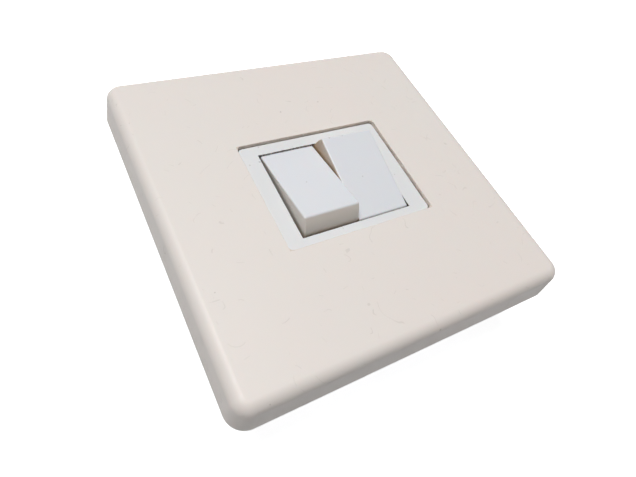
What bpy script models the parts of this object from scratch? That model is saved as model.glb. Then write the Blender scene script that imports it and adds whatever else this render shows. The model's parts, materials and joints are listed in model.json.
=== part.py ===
"""Two-gang rocker wall switch, flush type.

Lengths are in millimetres and are turned into metres where the meshes are made. The front face of the
cover plate is height 0 in the dimensions below; the model itself stands on the rear base, which is at
world z = 0, so every world height is the dimension plus DEPTH. The rockers turn about the X axis, and
"near" is the -Y side.
"""
import math

import bmesh
import bpy

MM = 0.001
DEPTH = 30.0                    # front face of the cover plate above the rear face of the base
GAP = 0.3                       # between pieces that touch in the real switch
ROUND = 24                      # sides of a round piece

# Cover plate
PLATE = 86.0                    # square outline at the wall
PLATE_T = 9.0
PLATE_DRAFT = 0.7               # each side leans in by this much up to the shoulder
PLATE_SHOULDER = 2.7
PLATE_CORNER = 4.5
PLATE_WALL = 2.3
WINDOW = (38.8, 30.0)
WINDOW_MIDDLE = (0.2, 0.3)
WINDOW_CORNER = 1.2
CLIP_AT = (12.0, 27.0)
CLIP_WIDTH = 5.0
CLIP_T = 1.6
CLIP_TIP = -10.9
CLIP_HOOK = 0.8

# Mounting strap and its fastenings
STRAP = 71.0
STRAP_T = 1.5
STRAP_CORNER = 4.0
STRAP_TOP = -PLATE_T + STRAP_T
STRAP_WINDOW = (41.0, 31.0)
CLIP_HOLE = (6.2, 2.3)
SCREW_AT = 60.3 / 2
SCREW_R = 1.75
SCREW_HEAD_R = 3.2
DRIVER_SLOT = 1.0               # width of the slot in a fixing screw's head
SCREW_TIP = -27.0
SLOT = (4.1, 8.0)
RIVET_AT = (23.3, 9.0)
RIVET_R = 1.2
RIVET_HOLE_R = 1.5
RIVET_HEAD_R = 2.2
RIVET_TAIL_R = 2.0

# Bezel frame
BEZEL = (38.3, 29.5)            # shares the window's middle
BEZEL_TOP = -0.75
BEZEL_FLANGE = (52.0, 35.0)
BEZEL_FLANGE_TOP = -5.6
BEZEL_BOTTOM = STRAP_TOP + GAP
APERTURE = (29.3, 24.6)
APERTURE_MIDDLE = (-0.1, 0.0)
APERTURE_RELIEF = 25.4          # the aperture's length level with the pivot

# Rockers
PIVOT_Z = -4.07
TILT = math.radians(11.25)      # each way from level
ROCKER_INNER = 0.15             # the two rockers' inner sides, from the middle
ROCKER_OUTER = 14.3
ROCKER_TOP = 5.4                # flat top above the pivot
ROCKER_END_R = 12.35            # end faces are arcs about the pivot
ROCKER_SKIRT = math.radians(-14.0)
HOLLOW_SKIRT = math.radians(-22.0)      # past the skirt, so that the hollow is open below
ROCKER_WALL = 1.4
ROCKER_EDGE = 0.45
PIN_R = 1.0
PIN_HOLE_R = 1.2
BARREL_R = 2.9
BARREL_END = -7.6
BARREL_BORE_R = 2.05
BARREL_CEILING = -1.9

# Plunger and spring, along the rocker's own -Z
PLUNGER_R = 1.75
PLUNGER_BORE_R = 1.25
PLUNGER_TOP = -5.0
PLUNGER_FLOOR = -9.0
PLUNGER_SHOULDER = -9.7
PLUNGER_TIP = -11.0
SPRING_R = 0.85                 # middle of the wire
SPRING_WIRE_R = 0.18
SPRING_TURNS = 7
SPRING_STEPS = 12

# Seesaw contact
SEESAW_TILT = math.radians(10.0)
SEESAW_BEND = math.radians(14.0)
SEESAW_T = 0.8
SEESAW_WIDTH = 4.6
SEESAW_ARM = 9.2
SEESAW_Z = PIVOT_Z + PLUNGER_TIP - GAP - SEESAW_T / 2
TAB_R = 0.5
TAB_REACH = 3.9
CONTACT_AT = 8.0                # moving contact along its arm
CONTACT_R = 1.3
CONTACT_SHANK_R = 0.6
CONTACT_HOLE_R = 0.85

# Terminals
STRIP_T = 0.8
SEAT_TOP = -18.0
SEAT_WIDTH = 4.6
FIXED_CONTACT_AT = 8.05
FIXED_CONTACT_TOP = -17.05
FIXED_CONTACT_R = 1.5
TAIL_AT = 9.5
TAIL_WIDTH = 3.0
CHEEK_IN = 3.0
CHEEK_OUT = 3.7
CHEEK_TOP = SEESAW_Z + 1.2
CHEEK_HALF = 2.2
NOTCH_HALF = 0.8
BLOCK_X = (-1.6, 7.6)           # from the gang's middle, outwards
BLOCK_HALF = 2.8
BLOCK_TOP = -23.2
BLOCK_BOTTOM = -29.0
BLOCK_SCREW_X = 4.0
WIRE_BORE_R = 1.5
WIRE_Z = -26.1
TERMINAL_SCREW_R = 1.45
TERMINAL_SCREW_HOLE_R = 1.65
TERMINAL_SCREW_TIP = -27.0
TERMINAL_SCREW_END = -29.4

# Housing and rear base
CASE = (40.4, 30.4)
CASE_WALL = 1.6
CASE_CORNER = 1.5
HOUSING_TOP = STRAP_TOP
HOUSING_FLOOR = SEAT_TOP - STRIP_T - GAP
HOUSING_BOTTOM = HOUSING_FLOOR - 1.5
HOUSING_EARS = (52.0, 25.0)
EAR_TOP = -PLATE_T - GAP
EAR_T = 2.0
PARTITION_HALF = 0.6
PARTITION_TOP = -11.5
BASE_TOP = HOUSING_BOTTOM - GAP
POCKET_GAP = 0.35
ACCESS_R = 2.1
WIRE_HOLE_R = 1.9

GANG_X = (ROCKER_INNER + ROCKER_OUTER) / 2
SIDES = (("left", -1), ("right", 1))
ENDS = (("near", -1), ("far", 1))

MATERIALS = {                   # colour (linear), roughness, metallic
    "ivory_plastic": ((0.79, 0.73, 0.68), 0.42, 0.0),
    "white_plastic": ((0.78, 0.79, 0.80), 0.38, 0.0),
    "rocker_plastic": ((0.80, 0.81, 0.84), 0.35, 0.0),
    "case_plastic": ((0.62, 0.62, 0.60), 0.50, 0.0),
    "plunger_plastic": ((0.70, 0.68, 0.60), 0.40, 0.0),
    "zinc_steel": ((0.55, 0.56, 0.58), 0.35, 1.0),
    "screw_steel": ((0.60, 0.58, 0.50), 0.32, 1.0),
    "spring_steel": ((0.45, 0.45, 0.46), 0.30, 1.0),
    "brass": ((0.68, 0.50, 0.22), 0.32, 1.0),
    "contact_silver": ((0.78, 0.77, 0.74), 0.28, 1.0),
}


# ---------------------------------------------------------------- tools

def clear_scene():
    for obj in list(bpy.data.objects):
        bpy.data.objects.remove(obj)


def material(name):
    found = bpy.data.materials.get(name)
    if found:
        return found
    colour, roughness, metallic = MATERIALS[name]
    made = bpy.data.materials.new(name)
    made.use_nodes = True
    shader = made.node_tree.nodes["Principled BSDF"]
    shader.inputs["Base Color"].default_value = (*colour, 1.0)
    shader.inputs["Roughness"].default_value = roughness
    shader.inputs["Metallic"].default_value = metallic
    return made


def add_object(name, mesh, finish=None, parent=None):
    obj = bpy.data.objects.new(name, mesh)
    bpy.context.scene.collection.objects.link(obj)
    obj.parent = parent
    if finish:
        mesh.materials.append(material(finish))
    return obj


def to_object(name, bm, finish=None, parent=None):
    """Turns a bmesh in millimetres into an object in metres."""
    bmesh.ops.scale(bm, vec=(MM, MM, MM), verts=bm.verts)
    bmesh.ops.recalc_face_normals(bm, faces=bm.faces)
    mesh = bpy.data.meshes.new(name)
    bm.to_mesh(mesh)
    bm.free()
    mesh.shade_smooth()
    mesh.set_sharp_from_angle(angle=math.radians(32))
    return add_object(name, mesh, finish, parent)


def loft(name, rings, closed, finish=None, parent=None):
    """Joins rings of points, all of one length; open ends get a cap."""
    bm = bmesh.new()
    loops = [[bm.verts.new(p) for p in ring] for ring in rings]
    pairs = list(zip(loops, loops[1:] + loops[:1])) if closed else list(zip(loops, loops[1:]))
    for a, b in pairs:
        for i in range(len(a)):
            j = (i + 1) % len(a)
            bm.faces.new((a[i], a[j], b[j], b[i]))
    if not closed:
        bm.faces.new(list(reversed(loops[0])))
        bm.faces.new(loops[-1])
    return to_object(name, bm, finish, parent)


def rounded_rectangle(size, corner, z, steps=6, middle=(0.0, 0.0)):
    """A ring at height z; its corners are arcs of the same number of steps at any size."""
    points = []
    for quarter, (sx, sy) in enumerate(((1, 1), (-1, 1), (-1, -1), (1, -1))):
        cx = middle[0] + sx * (size[0] / 2 - corner)
        cy = middle[1] + sy * (size[1] / 2 - corner)
        for k in range(steps + 1):
            angle = math.pi / 2 * (quarter + k / steps)
            points.append((cx + corner * math.cos(angle), cy + corner * math.sin(angle), z))
    return points


def box(name, low, high, finish=None, parent=None):
    corners = ((low[0], low[1]), (high[0], low[1]), (high[0], high[1]), (low[0], high[1]))
    rings = [[(x, y, z) for x, y in corners] for z in (low[2], high[2])]
    return loft(name, rings, False, finish, parent)


def slab(name, size, corner, low, high, finish=None, parent=None, middle=(0.0, 0.0), steps=4):
    rings = [rounded_rectangle(size, corner, z, steps, middle) for z in (low, high)]
    return loft(name, rings, False, finish, parent)


def circle(radius, along, axis, centre=(0.0, 0.0), sides=ROUND):
    """A ring of points round an axis through centre, at a distance along it."""
    ring = []
    for k in range(sides):
        a = 2 * math.pi * k / sides
        u, v = centre[0] + radius * math.cos(a), centre[1] + radius * math.sin(a)
        ring.append({"X": (along, u, v), "Y": (u, along, v), "Z": (u, v, along)}[axis])
    return ring


def turned(name, profile, finish=None, parent=None, axis="Z", centre=(0.0, 0.0), sides=ROUND):
    """A round solid from (radius, distance along the axis) pairs."""
    rings = [circle(r, h, axis, centre, sides) for r, h in profile]
    return loft(name, rings, False, finish, parent)


def prism_x(name, outline, x_low, x_high, finish=None, parent=None):
    """An outline of (y, z) points, extruded along X."""
    rings = [[(x, y, z) for y, z in outline] for x in (x_low, x_high)]
    return loft(name, rings, False, finish, parent)


def combine(target, tool, operation):
    """Adds a Boolean; the tool rides with its target and is only a guide."""
    if tool.parent is None and target.parent is None and target.location.length > 0:
        tool.parent = target
    modifier = target.modifiers.new(tool.name, "BOOLEAN")
    modifier.operation = operation
    modifier.solver = "EXACT"
    modifier.object = tool
    tool.hide_render = True
    tool.display_type = "WIRE"
    return target


def cut(target, tool):
    return combine(target, tool, "DIFFERENCE")


def join(target, tool):
    return combine(target, tool, "UNION")


def height(z):
    return z + DEPTH


# ---------------------------------------------------------------- cover plate

def plate_ring(z, inset, size=(PLATE, PLATE), corner=PLATE_CORNER):
    corner = max(corner - inset, WINDOW_CORNER)
    return rounded_rectangle((size[0] - 2 * inset, size[1] - 2 * inset), corner, height(z))


def plate_shoulder(steps=5):
    """The arc from the drafted side to the flat front."""
    rings = []
    for k in range(steps + 1):
        a = math.pi / 2 * k / steps
        z = -PLATE_SHOULDER * (1 - math.sin(a))
        rings.append(plate_ring(z, PLATE_DRAFT + PLATE_SHOULDER * (1 - math.cos(a))))
    return rings


def make_cover_plate():
    skin = -PLATE_WALL
    rings = [plate_ring(-PLATE_T, 0.0)] + plate_shoulder()
    rings.append(rounded_rectangle(WINDOW, WINDOW_CORNER, height(0.0), middle=WINDOW_MIDDLE))
    rings.append(rounded_rectangle(WINDOW, WINDOW_CORNER, height(skin), middle=WINDOW_MIDDLE))
    rings.append(plate_ring(skin, PLATE_WALL + PLATE_DRAFT))
    rings.append(plate_ring(-PLATE_T, PLATE_WALL))
    plate = loft("cover_plate", rings, True, "ivory_plastic")
    for _, sx in SIDES:
        for _, sy in ENDS:
            join(plate, clip_leg(sx, sy))
    return plate


def clip_leg(sx, sy):
    """A leg with a hook that catches behind the strap."""
    inner, outer = CLIP_AT[1] - CLIP_T / 2, CLIP_AT[1] + CLIP_T / 2
    top, tip = -PLATE_WALL + 0.6, CLIP_TIP
    catch = -PLATE_T - GAP
    hook = [(outer, catch), (outer + CLIP_HOOK, catch), (outer, tip)]
    outline = [(sy * y, height(z)) for y, z in [(inner, top), (outer, top)] + hook + [(inner, tip)]]
    middle = sx * CLIP_AT[0]
    name = f"guide_clip_{sx}_{sy}"
    return prism_x(name, outline, middle - CLIP_WIDTH / 2, middle + CLIP_WIDTH / 2)


# ---------------------------------------------------------------- strap and fastenings

def make_mounting_strap():
    low, high = height(STRAP_TOP - STRAP_T), height(STRAP_TOP)
    rings = [
        rounded_rectangle((STRAP, STRAP), STRAP_CORNER, low),
        rounded_rectangle((STRAP, STRAP), STRAP_CORNER, high),
        rounded_rectangle(STRAP_WINDOW, WINDOW_CORNER, high),
        rounded_rectangle(STRAP_WINDOW, WINDOW_CORNER, low),
    ]
    strap = loft("mounting_strap", rings, True, "zinc_steel")
    for side, sx in SIDES:
        round_end = SLOT[0] / 2 - 0.01
        cut(strap, slab(f"guide_slot_{side}", SLOT, round_end, low - 1, high + 1, middle=(sx * SCREW_AT, 0)))
        for end, sy in ENDS:
            hole = [(RIVET_HOLE_R, low - 1), (RIVET_HOLE_R, high + 1)]
            centre = (sx * RIVET_AT[0], sy * RIVET_AT[1])
            cut(strap, turned(f"guide_rivet_hole_{side}_{end}", hole, centre=centre))
            middle = (sx * CLIP_AT[0], sy * CLIP_AT[1])
            name = f"guide_clip_hole_{side}_{end}"
            cut(strap, slab(name, CLIP_HOLE, 0.5, low - 1, high + 1, middle=middle))
    return strap


def make_module_rivets():
    top, bottom = height(BEZEL_FLANGE_TOP + GAP), height(EAR_TOP - EAR_T - GAP)
    profile = [
        (RIVET_TAIL_R - 0.3, bottom - 0.7), (RIVET_TAIL_R, bottom - 0.45), (RIVET_TAIL_R, bottom),
        (RIVET_R, bottom), (RIVET_R, top),
        (RIVET_HEAD_R, top), (RIVET_HEAD_R, top + 0.35), (RIVET_HEAD_R - 0.7, top + 0.75),
    ]
    for side, sx in SIDES:
        for end, sy in ENDS:
            centre = (sx * RIVET_AT[0], sy * RIVET_AT[1])
            turned(f"module_rivet_{side}_{end}", profile, "screw_steel", centre=centre, sides=20)


def make_fixing_screws():
    seat, tip = height(STRAP_TOP + GAP), height(SCREW_TIP)
    profile = [
        (SCREW_R * 0.55, tip), (SCREW_R, tip + 1.0), (SCREW_R, seat), (SCREW_HEAD_R, seat),
        (SCREW_HEAD_R, seat + 0.9), (SCREW_HEAD_R * 0.86, seat + 1.5), (SCREW_HEAD_R * 0.5, seat + 1.9),
    ]
    for side, sx in SIDES:
        middle = sx * SCREW_AT
        screw = turned(f"fixing_screw_{side}", profile, "screw_steel", centre=(middle, 0))
        low = (middle - SCREW_HEAD_R - 1, -DRIVER_SLOT / 2, seat + 1.0)
        high = (middle + SCREW_HEAD_R + 1, DRIVER_SLOT / 2, seat + 3.0)
        cut(screw, box(f"guide_screw_slot_{side}", low, high))


# ---------------------------------------------------------------- bezel frame

def make_bezel_frame():
    top, step, bottom = height(BEZEL_TOP), height(BEZEL_FLANGE_TOP), height(BEZEL_BOTTOM)
    relief = (APERTURE[0], APERTURE_RELIEF)
    ease = 0.25
    eased = (BEZEL[0] - 2 * ease, BEZEL[1] - 2 * ease)
    rings = [
        rounded_rectangle(BEZEL_FLANGE, 2.0, bottom),
        rounded_rectangle(BEZEL_FLANGE, 2.0, step),
        rounded_rectangle(BEZEL, WINDOW_CORNER, step, middle=WINDOW_MIDDLE),
        rounded_rectangle(BEZEL, WINDOW_CORNER, top - ease, middle=WINDOW_MIDDLE),
        rounded_rectangle(eased, WINDOW_CORNER - ease, top, middle=WINDOW_MIDDLE),
        rounded_rectangle(APERTURE, ease, top, middle=APERTURE_MIDDLE),
        rounded_rectangle(relief, ease, height(PIVOT_Z), middle=APERTURE_MIDDLE),
        rounded_rectangle(relief, ease, bottom, middle=APERTURE_MIDDLE),
    ]
    bezel = loft("bezel_frame", rings, True, "white_plastic")
    reach = BEZEL[0] / 2 + 1
    bore = [(PIN_HOLE_R, -reach), (PIN_HOLE_R, reach)]
    cut(bezel, turned("guide_bezel_pin_hole", bore, axis="X", centre=(0, height(PIVOT_Z))))
    for side, sx in SIDES:
        for end, sy in ENDS:
            hole = [(RIVET_HOLE_R, bottom - 1), (RIVET_HOLE_R, step + 1)]
            centre = (sx * RIVET_AT[0], sy * RIVET_AT[1])
            cut(bezel, turned(f"guide_bezel_rivet_{side}_{end}", hole, centre=centre))
    return bezel


def make_pivot_pin():
    reach = BEZEL[0] / 2 - WINDOW_MIDDLE[0] - 0.4
    ease = 0.2
    profile = [(PIN_R - ease, -reach), (PIN_R, -reach + ease), (PIN_R, reach - ease), (PIN_R - ease, reach)]
    turned("pivot_pin", profile, "spring_steel", axis="X", centre=(0, height(PIVOT_Z)))


# ---------------------------------------------------------------- rockers, plungers and springs

def rocker_outline(end_radius, top, skirt, steps=7):
    """Flat top between two end arcs about the pivot, in (y, z) about the pivot."""
    crest = math.asin(top / end_radius)
    right = [skirt + (crest - skirt) * k / steps for k in range(steps + 1)]
    points = [(end_radius * math.cos(a), end_radius * math.sin(a)) for a in right]
    return points + [(-y, z) for y, z in reversed(points)]


def make_rocker(side, sx, tilt):
    inner, outer = sorted((sx * ROCKER_INNER - sx * GANG_X, sx * ROCKER_OUTER - sx * GANG_X))
    outline = rocker_outline(ROCKER_END_R, ROCKER_TOP, ROCKER_SKIRT)
    rocker = prism_x(f"rocker_{side}", outline, inner, outer, "rocker_plastic")
    bevel = rocker.modifiers.new("soft_edges", "BEVEL")
    bevel.width = ROCKER_EDGE * MM
    bevel.segments = 3
    bevel.limit_method = "ANGLE"
    bevel.angle_limit = math.radians(35)
    rocker.location = (sx * GANG_X * MM, 0.0, height(PIVOT_Z) * MM)
    rocker.rotation_euler.x = tilt
    inside = rocker_outline(ROCKER_END_R - ROCKER_WALL, ROCKER_TOP - ROCKER_WALL, HOLLOW_SKIRT)
    cut(rocker, prism_x(f"guide_hollow_{side}", inside, inner + ROCKER_WALL, outer - ROCKER_WALL))
    root = ROCKER_TOP - ROCKER_WALL / 2
    barrel = [(BARREL_R - 0.3, BARREL_END), (BARREL_R, BARREL_END + 0.3), (BARREL_R, root)]
    join(rocker, turned(f"guide_barrel_{side}", barrel))
    pin_hole = [(PIN_HOLE_R, inner - 1), (PIN_HOLE_R, outer + 1)]
    cut(rocker, turned(f"guide_pin_hole_{side}", pin_hole, axis="X"))
    bore = [(BARREL_BORE_R, BARREL_END - 1), (BARREL_BORE_R, BARREL_CEILING)]
    cut(rocker, turned(f"guide_bore_{side}", bore))
    return rocker


def make_plunger(side, rocker):
    profile = [(PLUNGER_R, PLUNGER_TOP), (PLUNGER_R, PLUNGER_SHOULDER)]
    fall = PLUNGER_SHOULDER - PLUNGER_TIP
    for k in range(1, 6):
        a = math.pi / 2 * k / 6
        profile.append((PLUNGER_R * math.cos(a), PLUNGER_SHOULDER - fall * math.sin(a)))
    profile.append((0.3, PLUNGER_TIP))
    plunger = turned(f"plunger_{side}", profile, "plunger_plastic", rocker)
    bore = [(PLUNGER_BORE_R, PLUNGER_FLOOR), (PLUNGER_BORE_R, PLUNGER_TOP + 1)]
    cut(plunger, turned(f"guide_plunger_bore_{side}", bore, parent=rocker))


def make_spring(side, rocker):
    """A helix along the barrel, between its ceiling and the plunger's floor."""
    top = BARREL_CEILING - GAP - SPRING_WIRE_R
    bottom = PLUNGER_FLOOR + GAP + SPRING_WIRE_R
    count = SPRING_TURNS * SPRING_STEPS + 1
    curve = bpy.data.curves.new(f"plunger_spring_{side}", "CURVE")
    curve.dimensions = "3D"
    curve.bevel_depth = SPRING_WIRE_R * MM
    curve.bevel_resolution = 1
    curve.use_fill_caps = True
    spline = curve.splines.new("POLY")
    spline.points.add(count - 1)
    for k in range(count):
        a = 2 * math.pi * k / SPRING_STEPS
        z = top + (bottom - top) * k / (count - 1)
        spline.points[k].co = (SPRING_R * math.cos(a) * MM, SPRING_R * math.sin(a) * MM, z * MM, 1.0)
    add_object(curve.name, curve, "spring_steel", rocker)


# ---------------------------------------------------------------- seesaw contacts

def along_arm(distance, above, sy):
    """A (y, z) point of one arm: distance out from the axis, above the arm's mid-plane."""
    y = distance * math.cos(SEESAW_BEND) - above * math.sin(SEESAW_BEND)
    z = distance * math.sin(SEESAW_BEND) + above * math.cos(SEESAW_BEND)
    return sy * y, z


def seesaw_outline():
    half = SEESAW_T / 2
    valley = half / math.cos(SEESAW_BEND)
    far_arm = [along_arm(SEESAW_ARM, -half, 1), along_arm(SEESAW_ARM, half, 1)]
    near_arm = [along_arm(SEESAW_ARM, half, -1), along_arm(SEESAW_ARM, -half, -1)]
    return [(0.0, -valley)] + far_arm + [(0.0, valley)] + near_arm


def arm_turned(name, profile, sy, finish=None, parent=None, sides=16):
    """A round solid square to an arm, about the contact's place on it."""
    rings = []
    for radius, above in profile:
        ring = []
        for k in range(sides):
            a = 2 * math.pi * k / sides
            y, z = along_arm(CONTACT_AT + radius * math.cos(a), above, sy)
            ring.append((radius * math.sin(a), y, z))
        rings.append(ring)
    return loft(name, rings, False, finish, parent)


def make_seesaw(side, sx, tilt):
    half = SEESAW_WIDTH / 2
    seesaw = prism_x(f"seesaw_{side}", seesaw_outline(), -half, half, "brass")
    seesaw.location = (sx * GANG_X * MM, 0.0, height(SEESAW_Z) * MM)
    seesaw.rotation_euler.x = tilt
    tabs = [(TAB_R, -TAB_REACH), (TAB_R, TAB_REACH)]
    join(seesaw, turned(f"guide_tabs_{side}", tabs, axis="X", sides=12))
    for end, sy in ENDS:
        hole = [(CONTACT_HOLE_R, -SEESAW_T), (CONTACT_HOLE_R, SEESAW_T)]
        cut(seesaw, arm_turned(f"guide_contact_hole_{side}_{end}", hole, sy))
        make_moving_contact(side, end, sy, seesaw)
    return seesaw


def make_moving_contact(side, end, sy, seesaw):
    under, over = -SEESAW_T / 2 - 0.25, SEESAW_T / 2 + 0.25
    profile = [
        (CONTACT_R - 0.2, under - 0.8), (CONTACT_R, under - 0.6), (CONTACT_R, under),
        (CONTACT_SHANK_R, under), (CONTACT_SHANK_R, over),
        (1.1, over), (1.1, over + 0.2), (0.8, over + 0.35),
    ]
    arm_turned(f"moving_contact_{side}_{end}", profile, sy, "contact_silver", seesaw)


# ---------------------------------------------------------------- terminals

def make_terminal_block(name, sx, y, target):
    """Joins a clamp block to a terminal strip, then bores it for the wire and the screw."""
    ends = sorted(sx * (GANG_X + x) for x in BLOCK_X)
    low = (ends[0], y - BLOCK_HALF, height(BLOCK_BOTTOM))
    high = (ends[1], y + BLOCK_HALF, height(BLOCK_TOP))
    join(target, box(f"guide_block_{name}", low, high))
    mouth = sx * (GANG_X + BLOCK_X[1] + 1)
    bore = sorted((mouth, sx * (GANG_X - 0.4)))
    wire = [(WIRE_BORE_R, bore[0]), (WIRE_BORE_R, bore[1])]
    cut(target, turned(f"guide_wire_bore_{name}", wire, axis="X", centre=(y, height(WIRE_Z)), sides=16))
    hole = [(TERMINAL_SCREW_HOLE_R, height(BLOCK_BOTTOM - 1)), (TERMINAL_SCREW_HOLE_R, height(WIRE_Z))]
    centre = (sx * (GANG_X + BLOCK_SCREW_X), y)
    cut(target, turned(f"guide_screw_hole_{name}", hole, centre=centre, sides=16))


def make_common_terminal(side, sx):
    """A U-shaped fulcrum bracket whose cheeks hold the seesaw's tabs, with its tail and block."""
    x = sx * GANG_X
    seat = height(SEAT_TOP)
    low = (x - CHEEK_OUT, -CHEEK_HALF, seat - STRIP_T)
    terminal = box(f"common_terminal_{side}", low, (x + CHEEK_OUT, CHEEK_HALF, height(CHEEK_TOP)), "brass")
    inside_low = (x - CHEEK_IN, -CHEEK_HALF - 1, seat)
    inside_high = (x + CHEEK_IN, CHEEK_HALF + 1, height(CHEEK_TOP) + 1)
    cut(terminal, box(f"guide_bracket_{side}", inside_low, inside_high))
    notch_low = (x - CHEEK_OUT - 1, -NOTCH_HALF, height(SEESAW_Z) - NOTCH_HALF)
    notch_high = (x + CHEEK_OUT + 1, NOTCH_HALF, height(CHEEK_TOP) + 2)
    cut(terminal, box(f"guide_notch_{side}", notch_low, notch_high))
    tail_low = (x - TAIL_WIDTH / 2, -STRIP_T / 2, height(BLOCK_TOP) - 0.5)
    join(terminal, box(f"guide_tail_{side}", tail_low, (x + TAIL_WIDTH / 2, STRIP_T / 2, seat - STRIP_T / 2)))
    make_terminal_block(f"{side}_common", sx, 0.0, terminal)


def make_fixed_terminal(side, sx, end, sy):
    """An L-shaped strip: contact seat, tail and clamp block."""
    x = sx * GANG_X
    seat = height(SEAT_TOP)
    inner, outer = sy * (FIXED_CONTACT_AT - 1.8), sy * (TAIL_AT + STRIP_T / 2)
    ys = sorted((inner, outer))
    half = SEAT_WIDTH / 2
    name = f"fixed_terminal_{side}_{end}"
    terminal = box(name, (x - half, ys[0], seat - STRIP_T), (x + half, ys[1], seat), "brass")
    hole = [(CONTACT_HOLE_R, seat - 2), (CONTACT_HOLE_R, seat + 2)]
    cut(terminal, turned(f"guide_seat_hole_{side}_{end}", hole, centre=(x, sy * FIXED_CONTACT_AT), sides=16))
    tail_low = (x - TAIL_WIDTH / 2, sy * TAIL_AT - STRIP_T / 2, height(BLOCK_TOP) - 0.5)
    tail_high = (x + TAIL_WIDTH / 2, sy * TAIL_AT + STRIP_T / 2, seat - STRIP_T / 2)
    join(terminal, box(f"guide_tail_{side}_{end}", tail_low, tail_high))
    make_terminal_block(f"{side}_{end}", sx, sy * TAIL_AT, terminal)


def make_fixed_contact(side, sx, end, sy):
    seat, top = height(SEAT_TOP + 0.25), height(FIXED_CONTACT_TOP)
    profile = [
        (CONTACT_SHANK_R, seat - 0.95), (CONTACT_SHANK_R, seat),
        (FIXED_CONTACT_R, seat), (FIXED_CONTACT_R, top - 0.2), (FIXED_CONTACT_R - 0.2, top),
    ]
    centre = (sx * GANG_X, sy * FIXED_CONTACT_AT)
    turned(f"fixed_contact_{side}_{end}", profile, "contact_silver", centre=centre, sides=16)


def make_terminal_screw(side, sx, place, y):
    low, high = height(TERMINAL_SCREW_END), height(TERMINAL_SCREW_TIP)
    x = sx * (GANG_X + BLOCK_SCREW_X)
    profile = [
        (TERMINAL_SCREW_R - 0.2, low), (TERMINAL_SCREW_R, low + 0.2),
        (TERMINAL_SCREW_R, high - 0.4), (TERMINAL_SCREW_R - 0.5, high),
    ]
    screw = turned(f"terminal_screw_{side}_{place}", profile, "screw_steel", centre=(x, y), sides=16)
    slot_low = (x - 2.5, y - 0.25, low - 1.0)
    cut(screw, box(f"guide_driver_slot_{side}_{place}", slot_low, (x + 2.5, y + 0.25, low + 0.7)))


# ---------------------------------------------------------------- housing and base

def terminal_places():
    """Every terminal: its gang's name and side, its place's name and its Y."""
    for side, sx in SIDES:
        for place, y in (("near", -TAIL_AT), ("common", 0.0), ("far", TAIL_AT)):
            yield side, sx, place, y


def make_contact_housing():
    top, floor, bottom = height(HOUSING_TOP), height(HOUSING_FLOOR), height(HOUSING_BOTTOM)
    housing = slab("contact_housing", CASE, CASE_CORNER, bottom, top, "case_plastic")
    ears = (height(EAR_TOP - EAR_T), height(EAR_TOP))
    join(housing, slab("guide_ears", HOUSING_EARS, 2.0, *ears))
    for side, sx in SIDES:
        ends = sorted((sx * PARTITION_HALF, sx * (CASE[0] / 2 - CASE_WALL)))
        half = CASE[1] / 2 - CASE_WALL
        cut(housing, box(f"guide_cell_{side}", (ends[0], -half, floor), (ends[1], half, top + 1)))
    low = (-PARTITION_HALF - 1, -CASE[1] / 2 + CASE_WALL, height(PARTITION_TOP))
    high = (PARTITION_HALF + 1, CASE[1] / 2 - CASE_WALL, top + 1)
    cut(housing, box("guide_over_partition", low, high))
    for side, sx in SIDES:
        for end, sy in ENDS:
            hole = [(RIVET_HOLE_R, ears[0] - 1), (RIVET_HOLE_R, ears[1] + 1)]
            centre = (sx * RIVET_AT[0], sy * RIVET_AT[1])
            cut(housing, turned(f"guide_ear_hole_{side}_{end}", hole, centre=centre))
    for side, sx, place, y in terminal_places():
        half_x, half_y = TAIL_WIDTH / 2 + GAP, STRIP_T / 2 + GAP
        low = (sx * GANG_X - half_x, y - half_y, bottom - 1)
        high = (sx * GANG_X + half_x, y + half_y, floor + 1)
        cut(housing, box(f"guide_tail_slot_{side}_{place}", low, high))
    return housing


def make_rear_base():
    top = height(BASE_TOP)
    base = slab("rear_base", CASE, CASE_CORNER, 0.0, top, "case_plastic")
    for side, sx, place, y in terminal_places():
        ends = sorted(sx * (GANG_X + x) for x in (BLOCK_X[0] - POCKET_GAP, BLOCK_X[1] + POCKET_GAP))
        half = BLOCK_HALF + POCKET_GAP
        low = (ends[0], y - half, height(BLOCK_BOTTOM) - POCKET_GAP)
        cut(base, box(f"guide_pocket_{side}_{place}", low, (ends[1], y + half, top + 1)))
        access = [(ACCESS_R, -1.0), (ACCESS_R, height(BLOCK_BOTTOM))]
        centre = (sx * (GANG_X + BLOCK_SCREW_X), y)
        cut(base, turned(f"guide_access_{side}_{place}", access, centre=centre, sides=16))
        reach = sorted((sx * (GANG_X + BLOCK_X[1]), sx * (CASE[0] / 2 + 1)))
        hole = [(WIRE_HOLE_R, reach[0]), (WIRE_HOLE_R, reach[1])]
        wire = turned(f"guide_wire_hole_{side}_{place}", hole, axis="X", centre=(y, height(WIRE_Z)), sides=16)
        cut(base, wire)
    return base


# ---------------------------------------------------------------- assembly

def make_gang(side, sx):
    """One gang at rest: the left rocker's near end is up, and the right rocker's far end."""
    lean = sx * TILT
    rocker = make_rocker(side, sx, lean)
    make_plunger(side, rocker)
    make_spring(side, rocker)
    make_seesaw(side, sx, -sx * SEESAW_TILT)
    make_common_terminal(side, sx)
    for end, sy in ENDS:
        make_fixed_terminal(side, sx, end, sy)
        make_fixed_contact(side, sx, end, sy)


def main():
    clear_scene()
    make_cover_plate()
    make_mounting_strap()
    make_fixing_screws()
    make_bezel_frame()
    make_module_rivets()
    make_pivot_pin()
    for side, sx in SIDES:
        make_gang(side, sx)
    for side, sx, place, y in terminal_places():
        make_terminal_screw(side, sx, place, y)
    make_contact_housing()
    make_rear_base()


main()
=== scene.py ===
"""Looks of the two-gang rocker wall switch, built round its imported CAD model.

Lengths are in millimetres and are turned into metres where meshes are made. Heights are measured from
the cover plate's front face, which is 0, and "near" is the -Y side.
"""

import json
import math

import bmesh
import bpy
from mathutils import Matrix, Vector, noise


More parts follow.
